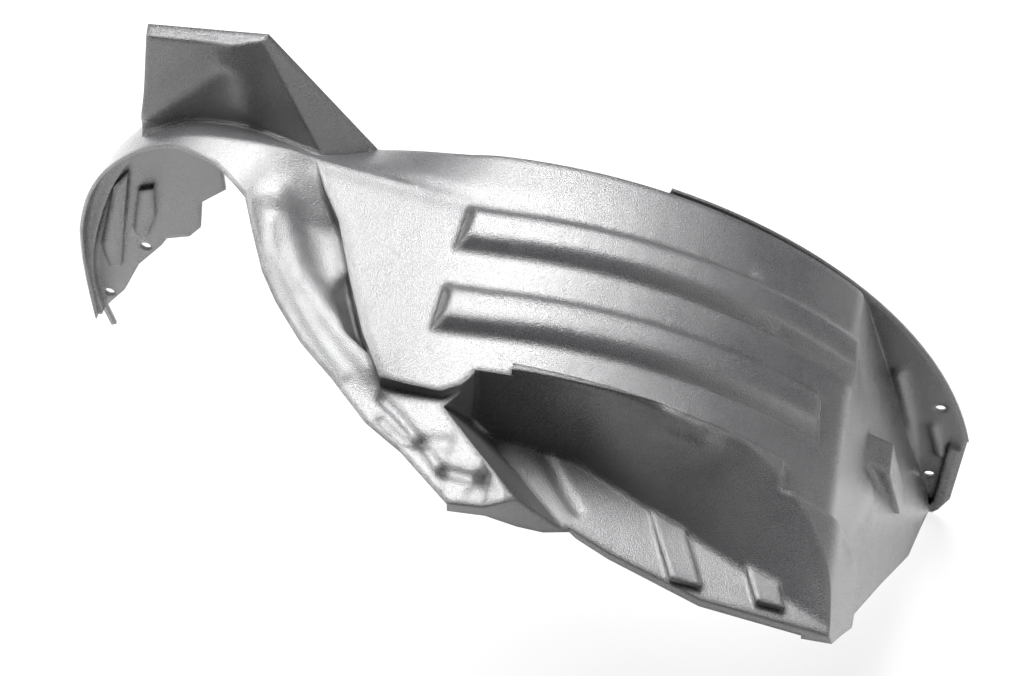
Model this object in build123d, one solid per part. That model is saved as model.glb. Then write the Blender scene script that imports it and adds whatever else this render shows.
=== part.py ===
"""Wheel arch liner, one thermoformed sheet, in millimetres.
X runs along the car, Y outboard, Z up. It is drawn from the wheel centre on the plane of the
outboard lip, and moved at the end so that its origin is the fixing hole beside the end panel.
The sheet is a solid form less the same form taken in by the wall, then trimmed to its outline."""
import os
from build123d import *

WALL = 2.5            # sheet thickness
FALL = 0.12           # the roof falls this much per mm going inboard

ARCH_R = 407          # roof radius over the wheel
ARCH_Z = 3            # height of the centre of that radius
BEND_X = 273          # where the roof turns down into the end panel
BEND_R = 30           # rounding of that bend
END = (397, -87)      # foot of the end panel line
SHOULDER_Y = 8        # the roof stops this far short of the lip plane
CREASE_Y = 55         # the shoulder starts to fall away here
RAMP_Y = 105          # by here the lowered strip has its full depth
WALL_STEPS = 6        # sections along the part of the slanted wall that twists
VALLEY = 19           # depth of the hollow beside the step
CHANNEL = 14          # step in from the roof to the channel behind the lip
LIP_R = 402           # outer radius of the upturned lip
OPENING = 26          # the wheel opening lies this far inside the roof line

PAD_RISE = 7          # raised pad along the inboard edge of the roof
PAD_Y = 193           # where the pad starts
RIB_RISE = 10         # height of the two long ribs
RIB_W = 42            # width of a rib at its foot
RIB_ROOT = 6          # its sides are carried this far below the roof to join it
RIB_BROW = 1.6        # drop of the softened brow along its crest
POD_TILT = 5          # fall of the pod's top towards the leg, degrees
HOLE_R = 4.5          # fixing holes in the lip
ORIGIN = (358, 145)   # the hole that the frame sits on, from the wheel centre

HOOD = [(-404, 40), (-402, 176), (-389, 258), (-355, 353), (-299, 418), (-225, 441)]
HIGH = [(-163, 434), (-100, 421), (-45, 412)]
LOW = [(-190, 428), (-150, 412), (-100, 405), (-45, 401)]
HOOD_OUT = [(-402, 40), (-400, 176), (-386, 255), (-350, 338), (-306, 391), (-225, 416)]
HIGH_OUT = [(-163, 390), (-100, 395), (-45, 402)]
HOOD_LIP = [(-398, 40), (-396, 176), (-377, 250), (-340, 331), (-299, 379), (-225, 402)]
HIGH_LIP = [(-163, 376), (-100, 381), (-45, 388)]


HOLES = [ORIGIN, (363, 40), (188, 337), (-388, 121), (-344, 200)]

# ribs pressed in the lip plate, outlines in XZ
PRESSED = 7           # their height with the wall
LIP_BEAD = [(373, 94), (384, 90), (383, 4), (376, -14), (367, -14), (373, 4)]
LEG_RIBS = [[(-345, 306), (-360, 284), (-383, 196), (-381, 168), (-370, 168), (-362, 215)],
            [(-325, 290), (-338, 284), (-350, 224), (-342, 214), (-329, 250)]]


def moved(points, tangents, by):
    """A spline through the points, carried sideways by the distance given."""
    base = Spline(*points, tangents=tangents)
    n = 3 * len(points)
    ways = [base % (k / n) for k in range(n + 1)]
    ways[0], ways[-1] = Vector(*tangents[0]), Vector(*tangents[1])
    pts = [base @ (k / n) + Vector(-way.Y, way.X) * by for k, way in enumerate(ways)]
    return Spline(*pts, tangents=tangents)


def profile(hood, roof, top_z=ARCH_Z + ARCH_R, by=0):
    """Closed face in the XZ plane under the roof line, grown outward by the distance given."""
    cz = top_z - ARCH_R
    bend = Vector(BEND_X, cz + (ARCH_R ** 2 - BEND_X ** 2) ** 0.5)
    run = (Vector(*END) - bend).normalized()
    start = bend + Vector(-run.Y, run.X) * by - Vector(0, cz)
    half = start.dot(run)
    slide = -half - (half ** 2 - start.dot(start) + (ARCH_R + by) ** 2) ** 0.5
    turn = start + Vector(0, cz) + run * slide
    foot = turn + run * (turn.Y + 200) / -run.Y
    first = moved(hood, [(0, 1), (1, 0)], by)
    second = moved([hood[-1], *roof, (0, top_z)], [(1, 0), (1, 0)], by)
    arc = RadiusArc(second @ 1, turn, ARCH_R + by)
    rest = Polyline(turn, foot, ((first @ 0).X, -200), first @ 0)
    face = make_face([first, second, arc, *rest.edges()])
    corner = face.vertices().sort_by_distance((turn.X, turn.Y, 0))[0]
    return Plane.XZ * fillet(corner, BEND_R + by)


def grown(face, by):
    return offset(face, by, kind=Kind.INTERSECTION) if by else face


def placed(face, y):
    """A face of the XZ plane carried inboard to y along the falling roof."""
    return Pos(0, -y, -FALL * y) * face


def sweep_in(face, y0, y1):
    return extrude(placed(face, y0), amount=(y1 - y0) * (1 + FALL ** 2) ** 0.5, dir=(0, -1, -FALL))


def prism_z(points, by=0, z0=-300, z1=700):
    """Upright prism over a plan outline."""
    f = grown(make_face(Polyline(*points, close=True)), by)
    return extrude(Pos(0, 0, z0) * f, amount=z1 - z0)


def prism_y(points, y0, y1, by=0):
    """Prism along Y, from y0 inboard to y1, over an outline in XZ."""
    with BuildSketch(Plane.XZ) as sk:
        with BuildLine():
            Polyline(*points, close=True)
        make_face()
    return extrude(Pos(0, y0, 0) * grown(sk.sketch, by), amount=y0 - y1)


def prism_x(points, x0, x1):
    """Prism along X over an outline in YZ."""
    with BuildSketch(Plane.YZ.offset(x0)) as sk:
        with BuildLine():
            Polyline(*points, close=True)
        make_face()
    return extrude(sk.sketch, amount=x1 - x0)


def section(x, points):
    with BuildSketch(Plane.YZ.offset(x)) as sk:
        with BuildLine():
            Polyline(*points, close=True)
        make_face()
    return sk.sketch


def above(p, along, across, t):
    """Everything above the plane through p that holds both directions, moved down by t."""
    n = Vector(*along).cross(Vector(*across)).normalized()
    n = n if n.Z > 0 else -n
    plane = Plane(origin=Vector(*p) - n * t, x_dir=Vector(*along), z_dir=n)
    return plane * Box(1600, 1600, 500, align=(Align.CENTER, Align.CENTER, Align.MIN))


# plan outline of the lower level: the strip round the strut cut-out and the corner beside it
STEP_LINE = [(-163, -CREASE_Y), (-150, -80), (-134, -103), (-114, -151), (-96, -190), (-76, -222),
             (-30, -222), (4, -202)]
LOW_PLAN = STEP_LINE + [(60, -202), (60, -450), (-224, -450), (-224, -CREASE_Y)]

# plan outline of the finished sheet on the inboard side
CUT_LINE = [(-409, -3), (-402, -15), (-389, -30), (-373, -38), (-355, -45), (-319, -54),
            (-274, -64), (-237, -79), (-208, -101), (-197, -125), (-183, -153), (-168, -173),
            (-143, -199), (-114, -222), (-81, -252), (-50, -270), (-8, -305)]
SEAM = [(20, -303), (42, -292), (78, -269), (110, -281), (184, -300), (300, -302)]


# outlines in XZ: the sector that the lip plate keeps, the cut along the leg and the tab at its
# tip, and the lower edge of the flange
LIP_SECTOR = [(0, 0), (120, 420), (450, 420), (450, 100), (388, 100), (387, 4), (379, -18),
              (372, -24), (0, -24)]
LEG_EDGE = [(-397, 94), (-373, 128), (-354, 171), (-329, 205), (-323, 216), (-302, 224),
            (-290, 240), (-285, 276), (-250, 310), (-200, 340), (0, 300), (0, -300), (-420, -300),
            (-420, 94)]
TIP_TAB = [(-401, 104), (-394, 100), (-389, 70), (-394, 67)]
FLANGE_EDGE = [(-60, 356), (20, 352), (60, 303), (84, 286), (184, 266), (264, 250), (264, -300),
               (-60, -300)]

# lower edge of the end panel, in YZ
END_EDGE = [(30, -24), (-2, -24), (-12, -5), (-46, 16), (-91, 41), (-167, 114), (-254, 194),
            (-281, 224), (-302, 246), (-400, 330), (-400, -400), (30, -400)]


def pocket(t):
    """What is cleared off the form inboard of the slanted wall and above the shelf."""
    cuts = []
    first, middle, last = ((Vector(x, *top), Vector(x, *foot)) for x, top, foot in (
        (-70, (-201, 391), (-203, 325)), (74, (-197, 384), (-211, 298)), (300, (-197, 307), (-302, 255))))
    turning = [[a + (b - a) * (k / WALL_STEPS) for a, b in zip(middle, last)]
               for k in range(WALL_STEPS + 1)]
    for top, foot in [first, *turning]:
        x = top.X
        up = (top - foot).normalized()
        side = Vector(0, up.Z, -up.Y) * t
        low = foot + side - up * (t + side.Z) * (1 / up.Z)
        high = top + side + up * 150
        cuts.append(section(x, [(high.Y, high.Z), (low.Y, low.Z), (-450, low.Z), (-450, 700),
                                (high.Y, 700)]))
    cleared = loft(Sketch() + cuts, ruled=True)
    cleared &= above((-26, -231, 376), (71, -65, -11), (0.68, 0.73, -1.8), t)
    return cleared & prism_z([(-28 - t, -231), (-8 - t, -203), (-8 - t, -100), (450, -100),
                              (450, -450), (-28 - t, -450)])


def rib(x0, x1, y, skew, t):
    """One of the two raised ribs along the roof, with sides and ends sloping at 45 degrees."""
    root, brow, crest = (profile(HOOD, HIGH, by=rise - t)
                         for rise in (-RIB_ROOT, RIB_RISE - RIB_BROW, RIB_RISE))
    flat = RIB_W / 2 - t * 0.414 - RIB_RISE
    foot = flat + RIB_RISE + RIB_ROOT
    brim = flat + RIB_BROW
    band = loft(Sketch() + [placed(root, y - foot), placed(brow, y - brim),
                            placed(crest, y - flat + 2 * RIB_BROW), placed(crest, y + flat - 2 * RIB_BROW),
                            placed(brow, y + brim), placed(root, y + foot)], ruled=True)
    x0, x1 = x0 + 0.414 * t, x1 - 0.414 * t
    low0 = 410 - FALL * y
    low1 = Vector(x1, (ARCH_R ** 2 - x1 ** 2) ** 0.5)
    out = low1.normalized()
    back = Vector(-out.Y, out.X)
    low1 += Vector(0, ARCH_Z - FALL * y)
    a1, b1 = low1 - (out - back * -1) * 60, low1 + (out + back) * 60
    ends = prism_y([(x0 - 60, low0 - 60), (x0 + 60, low0 + 60), (b1.X, b1.Y),
                    (a1.X, a1.Y)], 0, -300)
    return Pos(0, -y, 0) * Rot(0, 0, skew) * Pos(0, y, 0) * (band & ends)


def pod(t):
    """The tall box standing on the outboard side of the hood."""
    foot = [(-315, -7), (-315, -32), (-226, -40), (-143, -56), (-124, -7)]
    head = [(-50, 6), (-48, -6), (22, -7), (43, -1), (47, 6)]
    low = Pos(0, 0, 385) * grown(make_face(Polyline(*foot, close=True)), -t)
    high = Pos(-253, -12, 502 - t) * Rot(0, -POD_TILT, 0) * grown(make_face(Polyline(*head, close=True)), -t)
    return loft(Sketch() + [low, high], ruled=True)


def valley(t):
    """The hollow between the rounded crest and the foot of the step beside it."""
    crest = [(-184, -92, 416), (-168, -124, 407), (-150, -154, 398), (-122, -184, 389), (-84, -214, 382)]
    foot = [(-146, -82, -8), (-128, -114, 8), (-114, -150, VALLEY), (-96, -190, VALLEY), (-70, -224, -6)]
    cuts = []
    for (x, y, z), (fx, fy, deep) in zip(crest, foot):
        top, low = Vector(x, y, z + 2 - t), Vector(fx + t + 4, fy, z - deep - t)
        over = Vector(0, 0, 200)
        cuts.append(make_face(Polyline(top, low, low + over, top + over, close=True)))
    return loft(Sketch() + cuts, ruled=True)


def shelf_rib(x0, x1, lean, t):
    """A ramp on the shelf, rising inboard and ending short of the flange."""
    plan = [(x0, -205), (x1, -205), (x1 + lean, -292), (x0 + lean, -292)]
    ramp = prism_z(plan, -t, 240, 330)
    return ramp - above((x0, -225, 298 - 0.19 * (x0 - 74)), (1, 0, -0.19), (0, -67, 7), t)


def wedge(t):
    """The wedge on the end panel: a steep face above and a long ramp below."""
    side = [(296, 222), (318, 206), (337, 104), (300, 104)]
    return Pos(0, -88, 160) * Rot(14, 0, 0) * Pos(0, 88, -160) * prism_y(side, -76 - t, -102 + t, -t)


def form(t):
    """The solid form with every skin taken in by t."""
    high = profile(HOOD, HIGH, by=-t)
    low = profile(HOOD, LOW, 402, by=-t)
    edge = profile(HOOD_OUT, HIGH_OUT, 406, by=-t)
    pad = profile(HOOD, HIGH, by=PAD_RISE - t)
    shoulder = loft(Sketch() + [placed(edge, SHOULDER_Y + t), placed(high, CREASE_Y)], ruled=True)
    lowered = prism_z(LOW_PLAN, t) & Pos(0, -CREASE_Y - 400, 200) * Box(1600, 800, 1200)
    body = (shoulder + sweep_in(high, CREASE_Y, 340)) - lowered
    ramp = loft(Sketch() + [placed(high, CREASE_Y), placed(low, RAMP_Y)], ruled=True)
    body = body + sweep_in(low, RAMP_Y, 340) + (ramp & prism_z([(-224 - t, 0), (60 + t, 0),
                                                                (60 + t, -450), (-224 - t, -450)]))
    pads = sweep_in(pad, PAD_Y + t, 340) & prism_z([(20, 0), (232 - t, 0), (232 - t, -450), (20, -450)])
    pads += sweep_in(pad, PAD_Y + 22 + t, 340) & Pos(330, -250, 300) * Box(240, 400, 200 - 2 * t)
    body += pads
    body += sweep_in(profile(HOOD_LIP, HIGH_LIP, 406 - CHANNEL, by=-t), t, 40)
    body -= valley(t) & lowered
    body -= pocket(t)
    body += shelf_rib(122, 146, 38, t)
    body += shelf_rib(192, 214, 34, t)
    body += wedge(t)
    body += rib(-44, 276, 80, 1.6, t)
    body += rib(-48, 252, 151, 2.7, t)
    body += pod(t)
    return body


def drawn_sheet():
    """The sheet between the two forms, cut to its plan outline. It is left open towards the
    leg, and turns down in a flange along the seam."""
    corners = [(450, -302), (450, 60), (-450, 60), (-450, -3)]
    outer = form(0) & prism_z(CUT_LINE + SEAM + corners)
    seam = [(x, y + WALL) for x, y in [CUT_LINE[-1], *SEAM, (500, -302)]]
    inner = form(WALL) & prism_z([(-500, -600), (-8, -600), *seam, (500, 60), (-500, 60)])
    return outer - inner


def with_lip(sheet):
    """The flat lip plate round the wheel opening and down the leg."""
    plate = Pos(0, -WALL / 2, 0) * Rot(90, 0, 0) * Cylinder(LIP_R, WALL)
    opening = sweep_in(profile(HOOD_OUT, HIGH_OUT, 406, by=-OPENING), -20, 40)
    sheet += (plate & prism_y(LIP_SECTOR, 10, -20)) - opening
    sheet -= opening & prism_y([(-262, -300), (-262, 500), (500, 500), (500, -300)], 30, -60)
    sheet -= prism_y(LEG_EDGE, 30, -90)
    return sheet + prism_y(TIP_TAB, 0, -WALL)


def with_pressed_ribs(sheet):
    """Ribs pressed inboard out of the lip plate, hollow from outside."""
    for outline in (LIP_BEAD, *LEG_RIBS):
        sheet += prism_y(outline, 0, -PRESSED)
        sheet -= prism_y(outline, 1, WALL - PRESSED, -WALL)
    return sheet


def trimmed(sheet):
    """Cuts the lower edges of the end panel and the flange, and the foot of the leg."""
    sheet -= prism_x(END_EDGE, 262, 450)
    strip = [(x, y + 2 * WALL) for x, y in [(-60, -270), *SEAM]] + [(300, -450), (-60, -450)]
    sheet -= prism_y(FLANGE_EDGE, -240, -400) & prism_z(strip)
    return sheet - Pos(0, 0, -300) * Box(540, 900, 560)


liner = trimmed(with_pressed_ribs(with_lip(drawn_sheet())))
for x, z in HOLES:
    liner -= Pos(x, 0, z) * Rot(90, 0, 0) * Cylinder(HOLE_R, 12)
liner = Pos(-ORIGIN[0], 0, -ORIGIN[1]) * liner
os.makedirs("parts", exist_ok=True)
export_step(liner, "parts/arch_liner.step")
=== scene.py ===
"""Looks of the wheel arch liner: one thermoformed sheet of dark plastic with its satin skin, on a
white studio floor, in soft light from above and from both sides, at the photograph's angle.
Metres, in the row frame: X along the car, Y outboard, Z up, origin at the end lip's fixing hole."""
import math
import bmesh
import bpy
from mathutils import Matrix, Vector


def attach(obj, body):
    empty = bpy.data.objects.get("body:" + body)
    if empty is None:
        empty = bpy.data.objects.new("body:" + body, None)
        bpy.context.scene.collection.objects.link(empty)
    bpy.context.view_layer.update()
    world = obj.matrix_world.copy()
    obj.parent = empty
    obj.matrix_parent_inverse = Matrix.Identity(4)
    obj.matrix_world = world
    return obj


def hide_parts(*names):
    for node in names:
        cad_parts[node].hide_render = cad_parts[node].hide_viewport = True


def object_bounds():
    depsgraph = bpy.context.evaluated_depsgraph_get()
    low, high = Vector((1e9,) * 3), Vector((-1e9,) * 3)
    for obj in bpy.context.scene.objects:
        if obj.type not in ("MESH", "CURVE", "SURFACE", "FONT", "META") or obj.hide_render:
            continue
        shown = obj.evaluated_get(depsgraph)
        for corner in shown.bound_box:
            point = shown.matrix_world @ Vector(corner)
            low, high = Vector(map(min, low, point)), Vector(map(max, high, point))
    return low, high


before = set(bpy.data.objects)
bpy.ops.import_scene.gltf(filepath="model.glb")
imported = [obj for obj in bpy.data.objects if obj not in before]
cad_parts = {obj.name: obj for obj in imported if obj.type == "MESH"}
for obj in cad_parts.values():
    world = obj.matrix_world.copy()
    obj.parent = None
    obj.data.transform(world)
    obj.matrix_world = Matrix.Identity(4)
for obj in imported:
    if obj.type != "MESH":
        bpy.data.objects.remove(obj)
cad_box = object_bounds()
scene = bpy.context.scene


# The sheet
# The real one is a single sheet of dark polyethylene, heated, drawn over a mould and trimmed.
# Its wall is even, so what the mould gives one side shows on the other side too. Push
# fasteners through the holes in its lip and leg hold it in the wheel opening.
WALL = 0.0025
CREASE = math.radians(24)
SAME_PLACE = 0.00002
NO_LENGTH = 0.00001
sheet = bpy.data.objects.new("liner_sheet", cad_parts["arch_liner"].data.copy())
scene.collection.objects.link(sheet)
form = bmesh.new()
form.from_mesh(sheet.data)
bmesh.ops.remove_doubles(form, verts=form.verts, dist=SAME_PLACE)
bmesh.ops.dissolve_degenerate(form, edges=form.edges, dist=NO_LENGTH)

# The solid keeps a small fin at the corner of the shelf, which lies flat on the real sheet.
SHELF_Z = 0.2215
FIN_FROM_X = -0.340
FIN_TO_X = -0.308
FIN_TO_Y = -0.276
FOLDED_UP = 0.0003
form.normal_update()
fin = [v for v in form.verts
       if FIN_FROM_X < v.co.x < FIN_TO_X and v.co.y < FIN_TO_Y and v.co.z > SHELF_Z]
for vert in fin:
    vert.co.z = SHELF_Z if vert.normal.z > 0 else SHELF_Z - WALL
bmesh.ops.remove_doubles(form, verts=fin, dist=FOLDED_UP)

# The soft forms of the mould are drawn into both skins together, so the wall stays even. Each
# has a crest a millimetre to either side of its line, and fades away past it.
UPWARDS = (0, 0, 1)
INBOARD = (0, -1, 0)
CREST = 0.001
FADE = 2.4
FADE_SPARE = 0.003
FINE = 0.6
FINEST = 0.003
HALVINGS = 6


def off_line(place, points):
    """How far a place lies from a line of points."""
    nearest = math.inf
    for a, b in zip(points, points[1:]):
        run = b - a
        share = min(max((place - a).dot(run) / run.length_squared, 0), 1)
        nearest = min(nearest, (place - a - run * share).length)
    return nearest


def drawn(line, rise, reach, way=UPWARDS):
    """Draws the sheet out along a line of points, or presses it in where the rise is negative.
    The mesh is first cut finer near the line. FADE and FINE are shares of the reach."""
    points = [Vector(p) for p in line]
    way = Vector(way).normalized()
    limit = FADE * reach + FADE_SPARE
    fine = max(FINE * reach, FINEST)
    low = [min(p[k] for p in points) - limit for k in range(3)]
    high = [max(p[k] for p in points) + limit for k in range(3)]

    def outside(a, b):
        return any(max(a[k], b[k]) < low[k] or min(a[k], b[k]) > high[k] for k in range(3))

    nearby = [e for e in form.edges if not outside(e.verts[0].co, e.verts[1].co)]
    for _ in range(HALVINGS):
        long = []
        for edge in nearby:
            a, b = edge.verts[0].co, edge.verts[1].co
            size = (a - b).length
            if size > fine and off_line((a + b) / 2, points) < limit + size / 2:
                long.append(edge)
        if not long:
            break
        cut = bmesh.ops.subdivide_edges(form, edges=long, cuts=1)
        halves = [e for e in cut["geom"] if isinstance(e, bmesh.types.BMEdge)]
        beside = dict.fromkeys(f for e in halves for f in e.link_faces)
        split = bmesh.ops.triangulate(form, faces=[f for f in beside if len(f.verts) > 3])
        kept = [e for e in nearby + split["edges"] + halves if e.is_valid]
        nearby = list(dict.fromkeys(kept))
    for vert in dict.fromkeys(v for e in nearby for v in e.verts):
        away = off_line(vert.co, points)
        if away < limit:
            vert.co += way * rise * math.exp(-max(away - CREST, 0) ** 2 / reach ** 2)


# ridge and crease of the strip round the strut
drawn([(-0.541, -0.092, 0.271), (-0.527, -0.120, 0.259), (-0.513, -0.146, 0.251),
       (-0.488, -0.173, 0.242), (-0.464, -0.193, 0.237), (-0.443, -0.208, 0.234)],
      rise=0.006, reach=0.012)
drawn([(-0.544, -0.111, 0.268), (-0.535, -0.137, 0.260), (-0.512, -0.167, 0.248),
       (-0.491, -0.191, 0.241), (-0.462, -0.218, 0.234)], rise=0.002, reach=0.004)
# steps of the corner shelf
drawn([(-0.431, -0.231, 0.230), (-0.412, -0.245, 0.227), (-0.395, -0.260, 0.225),
       (-0.374, -0.281, 0.223)], rise=-0.0020, reach=0.0030)
drawn([(-0.374, -0.281, 0.223), (-0.359, -0.282, 0.223), (-0.344, -0.282, 0.223)],
      rise=-0.0020, reach=0.0035)
drawn([(-0.427, -0.249, 0.227), (-0.409, -0.262, 0.225), (-0.396, -0.262, 0.225)],
      rise=-0.0016, reach=0.0028)
drawn([(-0.391, -0.259, 0.225), (-0.373, -0.258, 0.226)], rise=-0.0015, reach=0.005)
# crease along the foot of the slanted wall, and the swell in its middle
drawn([(-0.313, -0.209, 0.160), (-0.302, -0.221, 0.156), (-0.290, -0.238, 0.154),
       (-0.277, -0.252, 0.152)], rise=-0.0015, reach=0.004)
drawn([(-0.212, -0.202, 0.205), (-0.192, -0.203, 0.200)], rise=0.007, reach=0.014, way=(0, -1, 1))
# soft crease where the roof's shoulder starts
SHOULDER_Y = -0.055
shoulder = [(-0.521, 0.282), (-0.458, 0.269), (-0.403, 0.260), (-0.358, 0.258), (-0.298, 0.254),
            (-0.238, 0.240), (-0.178, 0.216)]
drawn([(x, SHOULDER_Y, z) for x, z in shoulder], rise=-0.002, reach=0.010)
# second, softer bend of the end panel
drawn([(-0.054, -0.132, 0.047), (-0.062, -0.169, 0.068), (-0.071, -0.209, 0.090)],
      rise=0.003, reach=0.016, way=(1, 0, 0.4))
# buttress and rounded corner of the pod
POD_FRONT = (0, -1, 0.2)
drawn([(-0.663, -0.028, 0.272), (-0.627, -0.025, 0.310), (-0.597, -0.021, 0.340)],
      rise=0.006, reach=0.011, way=POD_FRONT)
drawn([(-0.584, -0.020, 0.338), (-0.583, -0.024, 0.330), (-0.581, -0.030, 0.302)],
      rise=0.006, reach=0.011, way=POD_FRONT)
# beads down the lip plate beside the end panel, clear of its holes
drawn([(-0.003, 0, -0.027), (0.010, 0, -0.068)], rise=0.004, reach=0.005, way=INBOARD)
drawn([(-0.043, 0, 0.044), (-0.024, 0, -0.024), (-0.015, 0, -0.076), (-0.014, 0, -0.149)],
      rise=0.005, reach=0.006, way=INBOARD)

for face in form.faces:
    face.smooth = True
for edge in form.edges:
    edge.smooth = len(edge.link_faces) == 2 and edge.calc_face_angle() < CREASE
form.to_mesh(sheet.data)
form.free()
if "custom_normal" in sheet.data.attributes:
    sheet.data.attributes.remove(sheet.data.attributes["custom_normal"])

# The skin is satin, with the mould's fine grain and a broad change of gloss from the draw.
DARK = (0.022, 0.022, 0.024, 1)
PALE = (0.080, 0.080, 0.082, 1)
GRAIN_SCALE = 1100
GRAIN_DEPTH = 0.0004
BROAD_SCALE = 9
WAVE_SCALE = 16
WAVE_DEPTH = 0.004
EDGE_RADIUS = 0.007
EDGE_SAMPLES = 6


def moulded_skin():
    """Dark satin polyethylene: speckled by its grain, gently wavy, and rounded at its edges."""
    mat = bpy.data.materials.new("moulded_skin")
    mat.use_nodes = True
    nodes, links = mat.node_tree.nodes, mat.node_tree.links
    skin = nodes["Principled BSDF"]
    skin.inputs["Specular IOR Level"].default_value = 1.0
    place = nodes.new("ShaderNodeTexCoord").outputs["Object"]

    def noise(scale, detail, roughness):
        """A cloudy pattern fixed to the sheet."""
        cloud = nodes.new("ShaderNodeTexNoise")
        cloud.inputs["Scale"].default_value = scale
        cloud.inputs["Detail"].default_value = detail
        cloud.inputs["Roughness"].default_value = roughness
        links.new(place, cloud.inputs["Vector"])
        return cloud.outputs["Fac"]

    def spread(value, least, most):
        """Turns the middle part of a noise into values from least to most."""
        ramp = nodes.new("ShaderNodeMapRange")
        ramp.inputs["From Min"].default_value = 0.3
        ramp.inputs["From Max"].default_value = 0.7
        ramp.inputs["To Min"].default_value = least
        ramp.inputs["To Max"].default_value = most
        links.new(value, ramp.inputs["Value"])
        return ramp.outputs["Result"]

    def together(first, second):
        """The sum of two values."""
        total = nodes.new("ShaderNodeMath")
        total.operation = "ADD"
        links.new(first, total.inputs[0])
        links.new(second, total.inputs[1])
        return total.outputs["Value"]

    def raised(height, strength, depth, under):
        """A bump on top of the normal that lies under it."""
        bump = nodes.new("ShaderNodeBump")
        bump.inputs["Strength"].default_value = strength
        bump.inputs["Distance"].default_value = depth
        links.new(height, bump.inputs["Height"])
        links.new(under, bump.inputs["Normal"])
        return bump.outputs["Normal"]

    grain = noise(GRAIN_SCALE, detail=2, roughness=0.6)
    broad = noise(BROAD_SCALE, detail=4, roughness=0.55)
    tone = nodes.new("ShaderNodeMix")
    tone.data_type = "RGBA"
    tone.inputs["A"].default_value = DARK
    tone.inputs["B"].default_value = PALE
    speckle = together(spread(broad, least=0, most=0.4), spread(grain, least=0, most=0.6))
    links.new(speckle, tone.inputs["Factor"])
    links.new(tone.outputs["Result"], skin.inputs["Base Color"])
    satin = together(spread(broad, least=0.24, most=0.32), spread(grain, least=-0.03, most=0.05))
    links.new(satin, skin.inputs["Roughness"])
    round_edge = nodes.new("ShaderNodeBevel")
    round_edge.samples = EDGE_SAMPLES
    round_edge.inputs["Radius"].default_value = EDGE_RADIUS
    pebbled = raised(grain, strength=1.0, depth=GRAIN_DEPTH, under=round_edge.outputs["Normal"])
    wave = noise(WAVE_SCALE, detail=2, roughness=0.5)
    wavy = raised(wave, strength=0.25, depth=WAVE_DEPTH, under=pebbled)
    links.new(wavy, skin.inputs["Normal"])
    return mat


sheet.data.materials.clear()
sheet.data.materials.append(moulded_skin())
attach(sheet, "root")
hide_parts("arch_liner")


# Floor
# A plain white sweep under the part, which is held as it sits in the car. It keeps the
# part's soft shadow and is otherwise white to the camera.
FLOOR_GAP = 0.002
FLOOR_HALF = 6.0
FLOOR_X = -0.36
FLOOR_WHITE = (0.8, 0.8, 0.8, 1)
GLOW_SHARE = 0.8


def white_sweep():
    """Matt white paint. Most of what the camera sees of it glows, so that it stays white."""
    mat = bpy.data.materials.new("white_sweep")
    mat.use_nodes = True
    nodes, links = mat.node_tree.nodes, mat.node_tree.links
    paint = nodes["Principled BSDF"]
    paint.inputs["Base Color"].default_value = FLOOR_WHITE
    paint.inputs["Roughness"].default_value = 0.9
    paint.inputs["Specular IOR Level"].default_value = 0.1
    glow = nodes.new("ShaderNodeEmission")
    glow.inputs["Strength"].default_value = 1.0
    path = nodes.new("ShaderNodeLightPath")
    share = nodes.new("ShaderNodeMath")
    share.operation = "MULTIPLY"
    share.inputs[1].default_value = GLOW_SHARE
    links.new(path.outputs["Is Camera Ray"], share.inputs[0])
    seen = nodes.new("ShaderNodeMixShader")
    links.new(share.outputs["Value"], seen.inputs["Fac"])
    links.new(paint.outputs["BSDF"], seen.inputs[1])
    links.new(glow.outputs["Emission"], seen.inputs[2])
    links.new(seen.outputs["Shader"], nodes["Material Output"].inputs["Surface"])
    return mat


lowest = cad_box[0][2]
sweep = bmesh.new()
bmesh.ops.create_grid(sweep, x_segments=1, y_segments=1, size=FLOOR_HALF)
bmesh.ops.translate(sweep, verts=sweep.verts, vec=(FLOOR_X, 0, lowest - FLOOR_GAP))
floor_mesh = bpy.data.meshes.new("floor")
sweep.to_mesh(floor_mesh)
sweep.free()
floor_mesh.materials.append(white_sweep())
floor = bpy.data.objects.new("floor", floor_mesh)
scene.collection.objects.link(floor)


# Light
# A wide soft box hangs over the part and gives the long soft highlights. A weaker one stands on
# each side, and the room is a plain dark grey that shows white behind the part.
AIM = Vector((-0.33, -0.13, 0.12))
ROOM_STRENGTH = 0.05
BACKDROP_STRENGTH = 1.0


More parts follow.
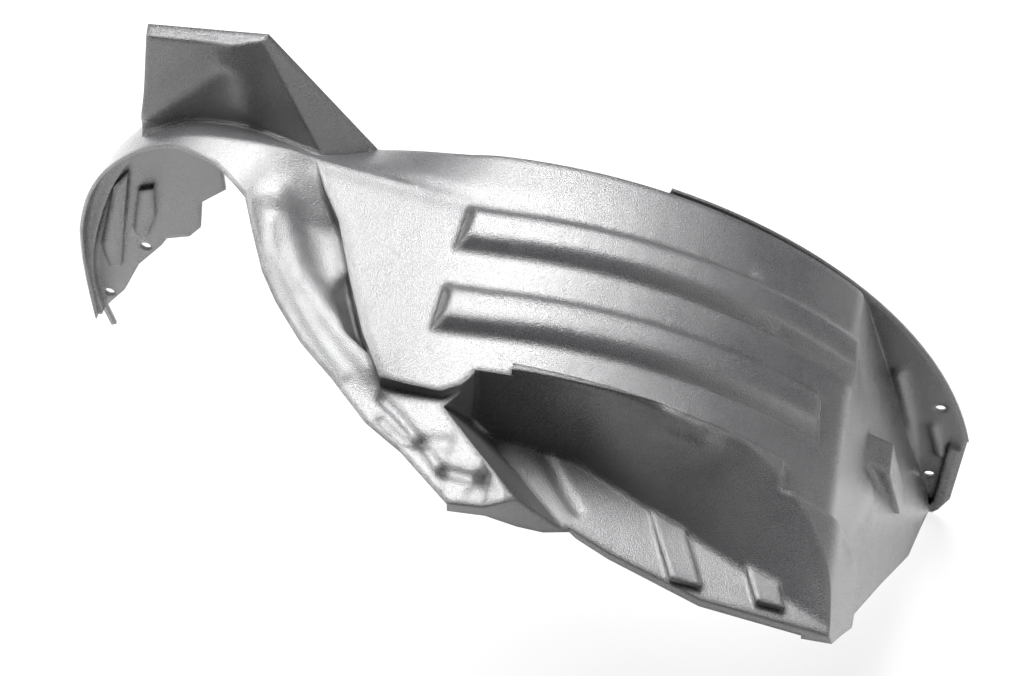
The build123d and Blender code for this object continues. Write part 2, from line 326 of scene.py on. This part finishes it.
def soft_box(name, place, width, height, power):
    """A rectangular area lamp that faces the part."""
    lamp = bpy.data.lights.new(name, "AREA")
    lamp.shape = "RECTANGLE"
    lamp.size = width
    lamp.size_y = height
    lamp.energy = power
    box = bpy.data.objects.new(name, lamp)
    box.location = place
    box.rotation_euler = (AIM - Vector(place)).to_track_quat("-Z", "Y").to_euler()
    scene.collection.objects.link(box)


soft_box("overhead", place=(-0.82, 0.64, 2.40), width=2.6, height=0.95, power=225)
soft_box("left", place=(-2.8, -0.2, 1.1), width=1.4, height=1.4, power=50)
soft_box("right", place=(1.7, -0.7, 0.7), width=1.2, height=1.0, power=18)
room = bpy.data.worlds.new("room")
room.use_nodes = True
scene.world = room
nodes, links = room.node_tree.nodes, room.node_tree.links
dim = nodes["Background"]
dim.inputs["Color"].default_value = (1, 1, 1, 1)
dim.inputs["Strength"].default_value = ROOM_STRENGTH
backdrop = nodes.new("ShaderNodeBackground")
backdrop.inputs["Color"].default_value = (1, 1, 1, 1)
backdrop.inputs["Strength"].default_value = BACKDROP_STRENGTH
pick = nodes.new("ShaderNodeMixShader")
path = nodes.new("ShaderNodeLightPath")
links.new(path.outputs["Is Camera Ray"], pick.inputs["Fac"])
links.new(dim.outputs["Background"], pick.inputs[1])
links.new(backdrop.outputs["Background"], pick.inputs[2])
links.new(pick.outputs["Shader"], nodes["World Output"].inputs["Surface"])


# Camera
# It looks down at the part from the inboard side, a little to the right of square on, as the
# photograph does.
CAMERA_PLACE = (-0.1455, -1.1880, 1.7282)
CAMERA_TURN = math.radians(11)
CAMERA_DOWN = math.radians(55)
LENS = 84.4
across = Vector((math.cos(CAMERA_TURN), math.sin(CAMERA_TURN), 0))
up = Vector((-math.sin(CAMERA_TURN) * math.sin(CAMERA_DOWN),
             math.cos(CAMERA_TURN) * math.sin(CAMERA_DOWN), math.cos(CAMERA_DOWN)))
turn = Matrix((across, up, across.cross(up))).transposed()
lens = bpy.data.cameras.new("camera")
lens.lens = LENS
camera = bpy.data.objects.new("camera", lens)
camera.matrix_world = Matrix.Translation(CAMERA_PLACE) @ turn.to_4x4()
scene.collection.objects.link(camera)
scene.camera = camera
scene.view_settings.view_transform = "Standard"
